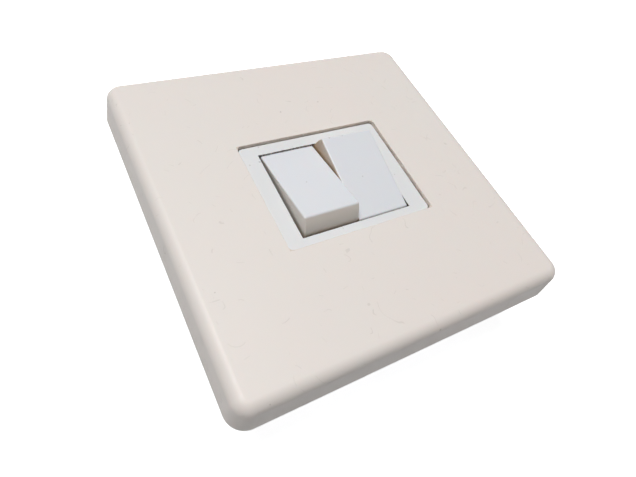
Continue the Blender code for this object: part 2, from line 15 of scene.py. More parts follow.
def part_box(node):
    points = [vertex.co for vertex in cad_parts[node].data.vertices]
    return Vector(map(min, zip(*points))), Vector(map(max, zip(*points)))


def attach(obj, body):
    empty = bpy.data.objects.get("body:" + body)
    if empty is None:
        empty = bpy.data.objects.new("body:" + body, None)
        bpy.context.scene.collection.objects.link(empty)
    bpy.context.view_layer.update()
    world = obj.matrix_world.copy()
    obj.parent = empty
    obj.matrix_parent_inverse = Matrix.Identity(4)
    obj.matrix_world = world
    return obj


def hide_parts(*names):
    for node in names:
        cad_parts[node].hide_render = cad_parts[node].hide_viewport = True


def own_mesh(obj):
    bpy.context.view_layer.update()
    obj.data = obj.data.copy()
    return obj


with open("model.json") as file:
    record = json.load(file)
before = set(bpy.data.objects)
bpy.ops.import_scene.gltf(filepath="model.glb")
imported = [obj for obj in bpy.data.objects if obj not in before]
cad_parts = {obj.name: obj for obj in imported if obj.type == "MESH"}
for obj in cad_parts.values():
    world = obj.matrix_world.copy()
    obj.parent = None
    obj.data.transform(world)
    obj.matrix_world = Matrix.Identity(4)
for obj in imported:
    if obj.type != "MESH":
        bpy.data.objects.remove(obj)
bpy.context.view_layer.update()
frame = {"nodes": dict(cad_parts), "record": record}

MM = 0.001
PLATE_LOW, PLATE_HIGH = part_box("cover_plate")
FRONT = PLATE_HIGH[2] / MM
BODY = "switch_body"
SIDES = (("left", -1), ("right", 1))
ENDS = (("near", -1), ("far", 1))

# Cover plate
PLATE = (PLATE_HIGH[0] - PLATE_LOW[0]) / MM
PLATE_T = 9.0
PLATE_DRAFT = 0.7
PLATE_SHOULDER = 2.7
PLATE_CORNER = 4.5
PLATE_WALL = 2.3
PLATE_RIM_EDGE = 0.35
WINDOW = (38.8, 30.0)
WINDOW_MIDDLE = (0.2, 0.3)
WINDOW_CORNER = 1.2
WINDOW_LIP = 0.12
WINDOW_ROUGHNESS = 0.10
CLIP_AT = (12.0, 27.0)
CLIP_WIDTH = 5.0
CLIP_HOOK = 0.8

# Mounting strap and its fastenings
STRAP = 71.0
STRAP_T = 1.5
STRAP_CORNER = 4.0
STRAP_TOP = -PLATE_T + STRAP_T
STRAP_WINDOW = (41.0, 31.0)
CLIP_HOLE = (6.2, 2.3)
BEAD = (44.0, 2.2)
BEAD_AT = 21.5
BEAD_RISE = 0.5
SCREW_AT = 60.3 / 2
SCREW_R = 1.75
SCREW_ROOT_R = 1.36
SCREW_PITCH = 0.6
SCREW_HEAD_R = 3.2
SCREW_TIP = -27.0
SLOT = (4.1, 8.0)
RIVET_AT = (23.3, 9.0)
RIVET_R = 1.2
RIVET_HOLE_R = 1.5
RIVET_TAIL_R = 2.0
RIVET_HEAD_R = 2.2
RIVET_RIM = 0.15
RIVET_DOME = 0.7
PIN_R = 1.0

# Housing and rear base
CASE = (40.4, 30.4)
CASE_WALL = 1.6
CASE_CORNER = 1.5
CASE_EDGE = 0.3
HOUSING_TOP = STRAP_TOP
HOUSING_FLOOR = -19.1
HOUSING_BOTTOM = -20.6
HOUSING_EARS = (52.0, 25.0)
EAR_TOP = -9.3
EAR_T = 2.0
PARTITION_HALF = 0.6
PARTITION_TOP = -11.5
LATCH_AT = 11.0
LATCH = (5.0, 0.8, 4.0)          # width, depth and height of a latch recess
TONGUE = (4.2, 0.5, 3.2)
BASE_TOP = -20.9
BASE_BOTTOM = -30.0
TAIL_AT = 9.5
TAIL_SLOT = (3.6, 1.4)
BARRIER_AT = 4.75
BARRIER = (0.9, 0.7)             # width and depth of the grooves between terminals
BLOCK_X = (-1.95, 7.95)
BLOCK_HALF = 3.15
BLOCK_BOTTOM = -29.0
BLOCK_SCREW_X = 4.0
POCKET_GAP = 0.35
ACCESS_R = 2.1
WIRE_HOLE_R = 1.9
WIRE_Z = -26.1
MOUTH = 0.7                      # how far a hole's chamfered mouth widens
TERMINAL_SCREW_R = 1.45
TERMINAL_SCREW_TIP = -27.0
TERMINAL_SCREW_END = -29.4
STRIP_GAUGE = (11.0, 1.4)
STRIP_GAUGE_DEPTH = 0.4
STRIP_GAUGE_AT = 12.4

# Bezel frame
BEZEL = (38.55, 29.75)
BEZEL_TOP = -0.75
BEZEL_FLANGE = (52.0, 35.0)
BEZEL_FLANGE_TOP = -5.6
BEZEL_BOTTOM = -7.2
APERTURE = (29.3, 24.45)
APERTURE_MIDDLE = (-0.2, -0.075)
APERTURE_RELIEF = 25.4
APERTURE_CORNER = 0.25

# Rockers
PIVOT_Z = -4.07
TILT = math.radians(11.25)
GANG_X = 7.225
ROCKER_HALF = 7.075
ROCKER_TOP = 5.4
ROCKER_END_R = 12.35
ROCKER_SKIRT = math.radians(-14.0)
HOLLOW_SKIRT = math.radians(-22)
ROCKER_WALL = 1.4
ROCKER_EDGE = 0.38
PIN_HOLE_R = 1.2
BARREL_R = 2.9
BARREL_END = -7.6
BARREL_BORE_R = 2.05
BARREL_CEILING = -1.9
PLUNGER_R = 1.75
PLUNGER_BORE_R = 1.25
PLUNGER_TOP = -5.0
PLUNGER_FLOOR = -9.0
PLUNGER_SHOULDER = -9.7
PLUNGER_TIP = -11.0
SPRING_R = 0.85
SPRING_WIRE_R = 0.18
SPRING_TURNS = 7
SPRING_END_GAP = 0.3


# ---------------------------------------------------------------- mesh tools

def to_piece(name, bm, parent=None, smooth=35):
    """Turns a bmesh in millimetres into an object in metres."""
    bmesh.ops.scale(bm, vec=(MM, MM, MM), verts=bm.verts)
    bmesh.ops.recalc_face_normals(bm, faces=bm.faces)
    mesh = bpy.data.meshes.new(name)
    bm.to_mesh(mesh)
    bm.free()
    mesh.shade_smooth()
    mesh.set_sharp_from_angle(angle=math.radians(smooth))
    piece = bpy.data.objects.new(name, mesh)
    bpy.context.scene.collection.objects.link(piece)
    piece.parent = parent
    return piece


def loft(name, rings, closed=False, smooth=35):
    """Joins rings of points, all of one length; open ends get a cap."""
    bm = bmesh.new()
    loops = [[bm.verts.new(p) for p in ring] for ring in rings]
    pairs = list(zip(loops, loops[1:] + loops[:1])) if closed else list(zip(loops, loops[1:]))
    for a, b in pairs:
        for i in range(len(a)):
            j = (i + 1) % len(a)
            bm.faces.new((a[i], a[j], b[j], b[i]))
    if not closed:
        bm.faces.new(list(reversed(loops[0])))
        bm.faces.new(loops[-1])
    return to_piece(name, bm, smooth=smooth)


def rounded_rectangle(size, corner, z, steps=6, edge_steps=1, middle=(0.0, 0.0)):
    """A ring at height z above the floor, with arcs at the corners and points along the edges."""
    arcs = []
    for quarter, (sx, sy) in enumerate(((1, 1), (-1, 1), (-1, -1), (1, -1))):
        cx = middle[0] + sx * (size[0] / 2 - corner)
        cy = middle[1] + sy * (size[1] / 2 - corner)
        arc = []
        for k in range(steps + 1):
            angle = math.pi / 2 * (quarter + k / steps)
            arc.append(Vector((cx + corner * math.cos(angle), cy + corner * math.sin(angle), z)))
        arcs.append(arc)
    ring = []
    for arc, following in zip(arcs, arcs[1:] + arcs[:1]):
        ring += arc
        ring += [arc[-1].lerp(following[0], k / edge_steps) for k in range(1, edge_steps)]
    return ring


def box(name, low, high):
    corners = ((low[0], low[1]), (high[0], low[1]), (high[0], high[1]), (low[0], high[1]))
    return loft(name, [[(x, y, z) for x, y in corners] for z in (low[2], high[2])])


def slab(name, size, corner, low, high, middle=(0.0, 0.0), steps=6):
    return loft(name, [rounded_rectangle(size, corner, z, steps, 1, middle) for z in (low, high)])


def circle(radius, along, axis, centre, sides):
    ring = []
    for k in range(sides):
        a = 2 * math.pi * k / sides
        u, v = centre[0] + radius * math.cos(a), centre[1] + radius * math.sin(a)
        ring.append({"X": (along, u, v), "Y": (u, along, v), "Z": (u, v, along)}[axis])
    return ring


def turned(name, profile, axis="Z", centre=(0.0, 0.0), sides=48):
    """A round solid from (radius, distance along the axis) pairs."""
    return loft(name, [circle(r, h, axis, centre, sides) for r, h in profile])


def prism_x(name, outline, x_low, x_high):
    return loft(name, [[(x, y, z) for y, z in outline] for x in (x_low, x_high)])


def combine(target, tool, operation):
    """Applies a Boolean and removes its tool."""
    modifier = target.modifiers.new("combine", "BOOLEAN")
    modifier.operation = operation
    modifier.solver = "EXACT"
    modifier.object = tool
    apply_modifiers(target)
    bpy.data.objects.remove(tool)
    return target


def cut(target, *tools):
    for tool in tools:
        combine(target, tool, "DIFFERENCE")
    return target


def join(target, *tools):
    for tool in tools:
        combine(target, tool, "UNION")
    return target


def apply_modifiers(piece):
    graph = bpy.context.evaluated_depsgraph_get()
    mesh = bpy.data.meshes.new_from_object(piece.evaluated_get(graph))
    old = piece.data
    piece.modifiers.clear()
    piece.data = mesh
    mesh.name = piece.name
    bpy.data.meshes.remove(old)


def soften(piece, width, segments=3, angle=35):
    """Rounds every sharp edge of a piece."""
    bevel = piece.modifiers.new("soften", "BEVEL")
    bevel.width = width * MM
    bevel.segments = segments
    bevel.limit_method = "ANGLE"
    bevel.angle_limit = math.radians(angle)
    bevel.harden_normals = False
    apply_modifiers(piece)
    return piece


def shade(piece, angle=30):
    """Smooth shading that keeps large faces flat next to their rounded edges."""
    piece.data.shade_smooth()
    piece.data.set_sharp_from_angle(angle=math.radians(angle))
    weighted = piece.modifiers.new("weighted", "WEIGHTED_NORMAL")
    weighted.weight = 100
    weighted.keep_sharp = True
    apply_modifiers(piece)
    return piece


def level(z):
    """World height in millimetres of a height measured from the plate's front."""
    return FRONT + z


def finish_piece(piece, body, finish, slot, *nodes):
    piece.data.materials.clear()
    piece.data.materials.append(finish)
    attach(piece, body)
    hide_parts(*nodes)


# ---------------------------------------------------------------- material tools

class Shader:
    """A Principled material under construction; every method adds nodes and returns a socket."""

    def __init__(self, name):
        self.material = bpy.data.materials.new(name)
        self.material.use_nodes = True
        self.nodes = self.material.node_tree.nodes
        self.links = self.material.node_tree.links
        self.surface = self.nodes["Principled BSDF"]
        self.place = self.nodes.new("ShaderNodeTexCoord").outputs["Object"]

    def link(self, source, target):
        if isinstance(source, (int, float)):
            target.default_value = source
        else:
            self.links.new(source, target)

    def math(self, operation, a, b=0.0, clamp=False):
        node = self.nodes.new("ShaderNodeMath")
        node.operation = operation
        node.use_clamp = clamp
        self.link(a, node.inputs[0])
        self.link(b, node.inputs[1])
        return node.outputs[0]

    def axes(self):
        node = self.nodes.new("ShaderNodeSeparateXYZ")
        self.links.new(self.place, node.inputs[0])
        return node.outputs

    def noise(self, scale, detail=2.0, roughness=0.5, stretch=None, offset=(0, 0, 0)):
        mapping = self.nodes.new("ShaderNodeMapping")
        mapping.inputs["Scale"].default_value = stretch or (1, 1, 1)
        mapping.inputs["Location"].default_value = offset
        self.links.new(self.place, mapping.inputs["Vector"])
        node = self.nodes.new("ShaderNodeTexNoise")
        node.inputs["Scale"].default_value = scale
        node.inputs["Detail"].default_value = detail
        node.inputs["Roughness"].default_value = roughness
        self.links.new(mapping.outputs[0], node.inputs["Vector"])
        return node.outputs["Fac"]

    def cells(self, scale):
        node = self.nodes.new("ShaderNodeTexVoronoi")
        node.inputs["Scale"].default_value = scale
        self.links.new(self.place, node.inputs["Vector"])
        return node.outputs["Distance"]

    def ramp(self, value, low, high, out_low=0.0, out_high=1.0):
        """A clamped linear map from low..high to out_low..out_high."""
        node = self.nodes.new("ShaderNodeMapRange")
        node.clamp = True
        sockets = ("From Min", "From Max", "To Min", "To Max")
        for socket, number in zip(sockets, (low, high, out_low, out_high)):
            node.inputs[socket].default_value = number
        self.links.new(value, node.inputs["Value"])
        return node.outputs[0]

    def blend(self, factor, a, b):
        node = self.nodes.new("ShaderNodeMix")
        node.data_type = "RGBA"
        self.link(factor, node.inputs["Factor"])
        for colour, socket in ((a, node.inputs[6]), (b, node.inputs[7])):
            if isinstance(colour, tuple):
                socket.default_value = (*colour, 1.0)
            else:
                self.links.new(colour, socket)
        return node.outputs[2]

    def bump(self, heights, depth):
        node = self.nodes.new("ShaderNodeBump")
        node.inputs["Strength"].default_value = 1.0
        node.inputs["Distance"].default_value = depth * MM
        self.links.new(heights, node.inputs["Height"])
        self.links.new(node.outputs[0], self.surface.inputs["Normal"])

    def set(self, **values):
        for name, value in values.items():
            socket = name.replace("_", " ").title().replace("Ior", "IOR")
            self.surface.inputs[socket].default_value = value

    def feed(self, name, socket):
        self.links.new(socket, self.surface.inputs[name])


def within(shader, size, middle, margin):
    """1 inside an upright rectangle, grown by a margin in metres (number or socket)."""
    inside = []
    for value, full, centre in zip(shader.axes(), size, middle):
        reach = shader.math("ADD", margin, full / 2 * MM)
        offset = shader.math("SUBTRACT", value, centre * MM)
        inside.append(shader.math("LESS_THAN", shader.math("ABSOLUTE", offset), reach))
    return shader.math("MULTIPLY", inside[0], inside[1])


def hairs(shader, scale, width, share, offset):
    """Short curved hairlines: thin contours of one noise, kept where another one is high."""
    field = shader.noise(scale, 1.0, 0.4, offset=offset)
    contour = shader.math("ABSOLUTE", shader.math("SUBTRACT", field, 0.5))
    line = shader.ramp(contour, width * 0.4, width, 1.0, 0.0)
    patches = shader.noise(scale * 1.9, 0.0, offset=(offset[1], offset[0], 5.0))
    keep = shader.ramp(patches, share, share + 0.015)
    return shader.math("MULTIPLY", line, keep)


def specks(shader, scale, radius, share, offset):
    """Sparse round dust specks, of several sizes."""
    near = shader.cells(scale)
    size = shader.noise(scale * 0.45, 0.0, offset=offset)
    reach = shader.ramp(size, share, share + 0.15, 0.0, radius)
    return shader.math("LESS_THAN", near, reach)


IVORY = (0.755, 0.708, 0.668)
IVORY_PINK = (0.765, 0.697, 0.655)
IVORY_SHADE = (0.745, 0.705, 0.660)
BROWN = (0.62, 0.53, 0.45)
# painted shade: near black for the gap between the bezel's opening and the rockers
PAINTED_GAP_SHADE = (0.085, 0.06, 0.042)
DUST = (0.30, 0.26, 0.22)


def ivory_plastic():
    s = Shader("ivory_plastic")
    broad = s.ramp(s.noise(14.0, 3.0, 0.55), 0.35, 0.65)
    colour = s.blend(broad, IVORY, IVORY_PINK)
    mottled = s.ramp(s.noise(260.0, 4.0, 0.65, offset=(3, 1, 2)), 0.40, 0.75, 0.0, 0.45)
    colour = s.blend(mottled, colour, IVORY_SHADE)
    coarse = hairs(s, 150.0, 0.006, 0.66, (11, 4, 7))
    fine = hairs(s, 210.0, 0.008, 0.69, (2, 9, 1))
    marks = s.math("MAXIMUM", coarse, fine)
    colour = s.blend(s.math("MULTIPLY", marks, 0.16), colour, DUST)
    dots = specks(s, 420.0, 0.11, 0.66, (6, 2, 8))
    colour = s.blend(s.math("MULTIPLY", dots, 0.40), colour, DUST)
    margin = s.ramp(s.noise(1500.0, 3.0, 0.7, offset=(1, 5, 3)), 0.35, 0.75, 0.00002, 0.00022)
    edge = within(s, WINDOW, WINDOW_MIDDLE, margin)
    edge_grain = s.ramp(s.noise(2600.0, 3.0, 0.7), 0.35, 0.65, 0.45, 0.95)
    colour = s.blend(s.math("MULTIPLY", edge, edge_grain), colour, BROWN)
    s.feed("Base Color", colour)
    rough = s.ramp(s.noise(900.0, 3.0, 0.6), 0.3, 0.7, 0.46, 0.56)
    s.feed("Roughness", s.math("ADD", rough, s.math("MULTIPLY", s.math("MAXIMUM", marks, edge), 0.3)))
    fine = s.noise(5200.0, 2.0, 0.5)
    scratches = s.math("MULTIPLY", marks, -0.9)
    s.bump(s.math("ADD", s.math("MULTIPLY", fine, 0.35), scratches), 0.012)
    s.set(ior=1.49, subsurface_weight=0.06, subsurface_scale=0.0012)
    return s.material


def white_plastic(name, colour, shade_colour, rough_low, rough_high, size=None):
    """Moulded white plastic; size is an opening whose rim is painted near black, a painted shade for the gap
    round it.
    """
    s = Shader(name)
    broad = s.ramp(s.noise(40.0, 2.0, 0.5), 0.3, 0.7)
    base = s.blend(broad, colour, shade_colour)
    dots = specks(s, 500.0, 0.14, 0.60, (4, 7, 1))
    base = s.blend(s.math("MULTIPLY", dots, 0.35), base, DUST)
    if size:
        # the opening's rim is painted near black: painted shade in the gap
        margin = s.ramp(s.noise(1800.0, 3.0, 0.7), 0.35, 0.75, 0.0, 0.00012)
        rim = within(s, size, APERTURE_MIDDLE, margin)
        base = s.blend(s.math("MULTIPLY", rim, 0.92), base, PAINTED_GAP_SHADE)
    s.feed("Base Color", base)
    s.feed("Roughness", s.ramp(s.noise(1100.0, 3.0, 0.6), 0.3, 0.7, rough_low, rough_high))
    s.bump(s.noise(4800.0, 2.0, 0.5), 0.004)
    s.set(ior=1.5, subsurface_weight=0.08, subsurface_scale=0.0015)
    return s.material


WHITE = (0.725, 0.730, 0.738)
WHITE_SHADE = (0.712, 0.716, 0.718)
ROCKER = (0.735, 0.745, 0.78)
ROCKER_SHADE = (0.72, 0.735, 0.765)
# painted shade: a warmer, darker copy of the rocker white for its upright sides
ROCKER_SIDE_SHADE = (0.72, 0.675, 0.62)
# painted warm shade for the rockers' inner sides and their lower parts
PAINTED_SHADE_BROWN = (0.42, 0.26, 0.12)


def rocker_plastic(name, inner_side):
    """White rocker whose upright sides carry painted warm shade, deepest on the side next to its twin and
    towards the bottom.
    """
    s = Shader(name)
    base = s.blend(s.ramp(s.noise(55.0, 2.0, 0.5), 0.3, 0.7), ROCKER, ROCKER_SHADE)
    dots = specks(s, 520.0, 0.15, 0.61, (8, 1, 3))
    base = s.blend(s.math("MULTIPLY", dots, 0.40), base, DUST)
    x, _, z = s.axes()
    # upright sides below the top take the painted side shade
    base = s.blend(s.ramp(z, (ROCKER_TOP - 0.05) * MM, (ROCKER_TOP - 0.45) * MM), base, ROCKER_SIDE_SHADE)
    # painted warm shade on the side next to the twin rocker, deeper further down
    inward = s.math("MULTIPLY", x, float(inner_side))
    inner_face = s.ramp(inward, (ROCKER_HALF - 0.25) * MM, (ROCKER_HALF - 0.05) * MM)
    depth = s.ramp(z, (ROCKER_TOP - 0.5) * MM, (ROCKER_TOP - 3.6) * MM)
    streaks = s.ramp(s.noise(420.0, 3.0, 0.6, stretch=(1, 1, 0.4)), 0.25, 0.75, 0.55, 1.0)
    inner_shade = s.math("MULTIPLY", s.math("MULTIPLY", inner_face, streaks), s.ramp(depth, 0.0, 1.0, 0.6, 1.0))
    base = s.blend(inner_shade, base, PAINTED_SHADE_BROWN)
    # painted shade: darker towards the bottom, where the sides go below the bezel
    low_shade = s.math("MULTIPLY", s.ramp(z, 1.9 * MM, -0.4 * MM), 0.85)
    base = s.blend(s.math("MULTIPLY", low_shade, streaks), base, PAINTED_SHADE_BROWN)
    s.feed("Base Color", base)
    s.feed("Roughness", s.ramp(s.noise(1300.0, 3.0, 0.6), 0.3, 0.7, 0.30, 0.40))
    s.bump(s.noise(5200.0, 2.0, 0.5), 0.003)
    s.set(ior=1.5, subsurface_weight=0.10, subsurface_scale=0.0015)
    return s.material


def metal(name, colour, tint, rough, grain, stretch=(1, 1, 1)):
    """Drawn, plated or turned metal: tint varies in patches, roughness along the grain."""
    s = Shader(name)
    patches = s.ramp(s.noise(120.0, 4.0, 0.6), 0.3, 0.7)
    s.feed("Base Color", s.blend(patches, colour, tint))
    lines = s.noise(grain, 4.0, 0.65, stretch=stretch)
    s.feed("Roughness", s.ramp(lines, 0.3, 0.7, rough, rough + 0.18))
    s.bump(lines, 0.006)
    s.set(metallic=1.0)
    return s.material


def case_plastic():
    s = Shader("case_plastic")
    base = s.blend(s.ramp(s.noise(35.0, 3.0, 0.55), 0.3, 0.7), (0.60, 0.60, 0.575), (0.55, 0.555, 0.54))
    grains = s.ramp(s.noise(2400.0, 2.0, 0.6), 0.62, 0.72, 0.0, 0.5)
    base = s.blend(grains, base, (0.42, 0.42, 0.40))
    s.feed("Base Color", base)
    s.feed("Roughness", s.ramp(s.noise(700.0, 3.0, 0.6), 0.3, 0.7, 0.42, 0.58))
    s.bump(s.noise(3000.0, 3.0, 0.6), 0.012)
    s.set(ior=1.52)
    return s.material


def nylon():
    s = Shader("plunger_plastic")
    mottle = s.ramp(s.noise(300.0, 2.0), 0.3, 0.7)
    s.feed("Base Color", s.blend(mottle, (0.66, 0.63, 0.52), (0.58, 0.56, 0.47)))
    s.feed("Roughness", s.ramp(s.noise(900.0, 2.0), 0.3, 0.7, 0.34, 0.46))
    s.bump(s.noise(2500.0, 2.0), 0.006)
    s.set(subsurface_weight=0.15, subsurface_scale=0.002)
    return s.material


def make_finishes():
    return {
        "ivory_plastic": ivory_plastic(),
        "white_plastic": white_plastic("white_plastic", WHITE, WHITE_SHADE, 0.36, 0.46, APERTURE),
        "rocker_left": rocker_plastic("rocker_plastic_left", 1),
        "rocker_right": rocker_plastic("rocker_plastic_right", -1),
        "case_plastic": case_plastic(),
        "plunger_plastic": nylon(),
        "zinc_steel": metal("zinc_steel", (0.56, 0.57, 0.59), (0.48, 0.50, 0.53), 0.30, 900.0, (1, 0.08, 1)),
        "screw_steel": metal("screw_steel", (0.60, 0.57, 0.47), (0.52, 0.50, 0.45), 0.26, 1600.0,
                             (1, 1, 0.2)),
        "spring_steel": metal("spring_steel", (0.50, 0.50, 0.51), (0.42, 0.42, 0.43), 0.24, 2200.0),
        "brass": metal("brass", (0.70, 0.50, 0.21), (0.60, 0.40, 0.16), 0.28, 1300.0, (1, 0.15, 1)),
        "contact_silver": metal("contact_silver", (0.80, 0.79, 0.76), (0.70, 0.69, 0.66), 0.22, 1800.0),
    }


# ---------------------------------------------------------------- cover plate

PLATE_STEPS = 10
PLATE_EDGE_STEPS = 28


def plate_ring(z, inset):
    """The plate's outline at a height, moved inwards."""
    corner = max(PLATE_CORNER - inset, WINDOW_CORNER)
    outline = (PLATE - 2 * inset, PLATE - 2 * inset)
    return rounded_rectangle(outline, corner, level(z), PLATE_STEPS, PLATE_EDGE_STEPS)


def window_ring(z, grow=0.0, rough=0.0):
    """The window's outline; its cut wall is a little uneven."""
    size = (WINDOW[0] + 2 * grow, WINDOW[1] + 2 * grow)
    corner = WINDOW_CORNER + grow
    ring = rounded_rectangle(size, corner, level(z), PLATE_STEPS, PLATE_EDGE_STEPS, WINDOW_MIDDLE)
    for point in ring:
        outwards = Vector((point.x, point.y, 0)).normalized()
        point += outwards * rough * noise.noise(Vector((point.x * 0.9, point.y * 0.9, z * 2)))
    return ring


def make_cover_plate():
    skin = -PLATE_WALL
    rings = [plate_ring(-PLATE_T, PLATE_RIM_EDGE), plate_ring(-PLATE_T + PLATE_RIM_EDGE, 0.03)]
    shoulder_steps = 12
    for k in range(shoulder_steps + 1):
        a = math.pi / 2 * k / shoulder_steps
        inset = PLATE_DRAFT + PLATE_SHOULDER * (1 - math.cos(a))
        rings.append(plate_ring(-PLATE_SHOULDER * (1 - math.sin(a)), inset))
    rings.append(window_ring(0.0, 2.0))
    rings.append(window_ring(0.0, WINDOW_LIP, WINDOW_ROUGHNESS))
    rings.append(window_ring(-WINDOW_LIP * 0.6, WINDOW_LIP * 0.3, WINDOW_ROUGHNESS))
    for depth in (0.3, 0.6, 0.9, 1.3):
        rings.append(window_ring(-depth, 0.0, WINDOW_ROUGHNESS * 2))
    rings.append(window_ring(skin))
    rings.append(plate_ring(skin, PLATE_WALL + PLATE_DRAFT + 0.5))
    rings.append(plate_ring(skin - 0.5, PLATE_WALL + PLATE_DRAFT))
    rings.append(plate_ring(-PLATE_T + PLATE_RIM_EDGE, PLATE_WALL))
    rings.append(plate_ring(-PLATE_T, PLATE_WALL - PLATE_RIM_EDGE))
    plate = loft("cover_moulding", rings, True)
    for _, sx in SIDES:
        for _, sy in ENDS:
            join(plate, clip_leg(sx, sy))
    return shade(plate)


def clip_leg(sx, sy):
    """A leg with a hook that catches behind the strap."""
    inner, outer = CLIP_AT[1] - 0.8, CLIP_AT[1] + 0.8
    top, tip = -PLATE_WALL + 0.6, -PLATE_T - 1.9
    catch = -PLATE_T - 0.3
    outline = [(inner, top), (outer, top), (outer, catch), (outer + CLIP_HOOK, catch)]
    outline += [(outer, tip), (inner, tip)]
    outline = [(sy * y, level(z)) for y, z in outline]
    middle = sx * CLIP_AT[0]
    return prism_x("clip", outline, middle - CLIP_WIDTH / 2, middle + CLIP_WIDTH / 2)


# ---------------------------------------------------------------- strap and fastenings

def upright_hole(radius, centre, low, high, sides=40):
    return turned("hole", [(radius, low), (radius, high)], centre=centre, sides=sides)


def rivet_places():
    return [(sx * RIVET_AT[0], sy * RIVET_AT[1]) for _, sx in SIDES for _, sy in ENDS]


def make_mounting_strap():
    """Pressed plate: the stiffening beads stand up on its front and are hollow on its back."""
    low, high = level(STRAP_TOP - STRAP_T), level(STRAP_TOP)
    outer, inner = (STRAP, STRAP), STRAP_WINDOW
    rings = [
        rounded_rectangle(outer, STRAP_CORNER, low), rounded_rectangle(outer, STRAP_CORNER, high),
        rounded_rectangle(inner, WINDOW_CORNER, high), rounded_rectangle(inner, WINDOW_CORNER, low),
    ]
    strap = loft("strap_pressing", rings, True)
    round_end = BEAD[1] / 2 - 0.01
    for _, sy in ENDS:
        at = (0, sy * BEAD_AT)
        join(strap, slab("bead", BEAD, round_end, high - 0.3, high + BEAD_RISE, at))
        hollow = (BEAD[0] - 0.8, BEAD[1] - 0.8)
        cut(strap, slab("bead_hollow", hollow, round_end - 0.4, low - 1, low + BEAD_RISE, at))
    for _, sx in SIDES:
        cut(strap, slab("slot", SLOT, SLOT[0] / 2 - 0.01, low - 1, high + 1, (sx * SCREW_AT, 0), 12))
        for _, sy in ENDS:
            at = (sx * CLIP_AT[0], sy * CLIP_AT[1])
            cut(strap, slab("clip_hole", CLIP_HOLE, 0.5, low - 1, high + 1, at))
    for place in rivet_places():
        cut(strap, upright_hole(RIVET_HOLE_R, place, low - 1, high + 1))
    return shade(soften(strap, 0.12, 2))


def threaded(low, high, root, crest, pitch, centre, sides=28, steps=6):
    """Rings of a screw thread that runs out at its two ends."""
    rings = []
    count = int((high - low) / pitch * steps)
    for i in range(count + 1):
        z = low + (high - low) * i / count
        fade = min(1.0, (z - low) / pitch, (high - z) / pitch)
        ring = []
        for j in range(sides):
            turn = (z / pitch - j / sides) % 1.0
            radius = root + (crest - root) * fade * (1 - abs(2 * turn - 1))
            a = 2 * math.pi * j / sides
            ring.append((centre[0] + radius * math.cos(a), centre[1] + radius * math.sin(a), z))
        rings.append(ring)
    return rings


def make_fixing_screw(side, sx):
    seat, tip = level(STRAP_TOP + 0.3), level(SCREW_TIP)
    centre, sides = (sx * SCREW_AT, 0.0), 28
    rings = [circle(SCREW_ROOT_R * 0.6, tip, "Z", centre, sides)]
    rings += threaded(tip + 0.6, seat - 0.8, SCREW_ROOT_R, SCREW_R, SCREW_PITCH, centre, sides)
    rings += [circle(SCREW_ROOT_R, seat, "Z", centre, sides), circle(SCREW_HEAD_R, seat, "Z", centre, sides)]
    rim, dome, dome_steps = 0.7, 1.2, 6
    rings.append(circle(SCREW_HEAD_R, seat + rim, "Z", centre, sides))
    for k in range(1, dome_steps):
        a = math.pi / 2 * k / dome_steps
        z = seat + rim + dome * math.sin(a)
        rings.append(circle(SCREW_HEAD_R * math.cos(a), z, "Z", centre, sides))
    screw = loft(f"fixing_screw_thread_{side}", rings)
    low = (centre[0] - SCREW_HEAD_R - 1, -0.5, seat + 0.9)
    cut(screw, box("driver_slot", low, (centre[0] + SCREW_HEAD_R + 1, 0.5, seat + 3.0)))
    return shade(screw)


def make_rivet(name, centre):
    """A shank between two domed heads, the lower one formed flatter."""
    top, bottom = level(BEZEL_FLANGE_TOP + 0.3), level(EAR_TOP - EAR_T - 0.3)
    steps = 5
    turns = [math.pi / 2 * k / steps for k in range(steps)]
    under = [(RIVET_TAIL_R * math.sin(a), bottom - RIVET_DOME * math.cos(a)) for a in turns[1:]]
    over = [(RIVET_HEAD_R * math.cos(a), top + RIVET_RIM + RIVET_DOME * math.sin(a)) for a in turns]
    shank = [(RIVET_TAIL_R, bottom), (RIVET_R, bottom), (RIVET_R, top), (RIVET_HEAD_R, top)]
    profile = under + shank + over
    return shade(turned(name, profile, centre=centre, sides=36))


def make_pivot_pin():
    reach, ease = BEZEL[0] / 2 - 0.7, 0.25
    profile = [(PIN_R - ease, -reach), (PIN_R, -reach + ease), (PIN_R, reach - ease), (PIN_R - ease, reach)]
    return shade(turned("pivot_pin_rod", profile, "X", (0, level(PIVOT_Z)), 36))


# ---------------------------------------------------------------- housing and rear base

def terminal_places():
    """Every terminal: its gang's name and side, its place's name and its Y."""
    for side, sx in SIDES:
        for place, y in (("near", -TAIL_AT), ("common", 0.0), ("far", TAIL_AT)):
            yield side, sx, place, y


def cut_barriers(case, low, high):
    """Grooves down the two wired sides, between neighbouring terminals."""
    for _, sx in SIDES:
        face = sx * CASE[0] / 2
        ends = sorted((face - sx * BARRIER[1], face + sx))
        for _, sy in ENDS:
            y, half = sy * BARRIER_AT, BARRIER[0] / 2
            cut(case, box("groove", (ends[0], y - half, low), (ends[1], y + half, high)))


def latch_box(name, size, sx, sy, low, sink):
    """A box on the near or far face: width, depth and height, from a height up."""
    face = sy * (CASE[1] / 2 - sink)
    ys = sorted((face, face + sy * size[1]))
    x = sx * LATCH_AT
    return box(name, (x - size[0] / 2, ys[0], low), (x + size[0] / 2, ys[1], low + size[2]))


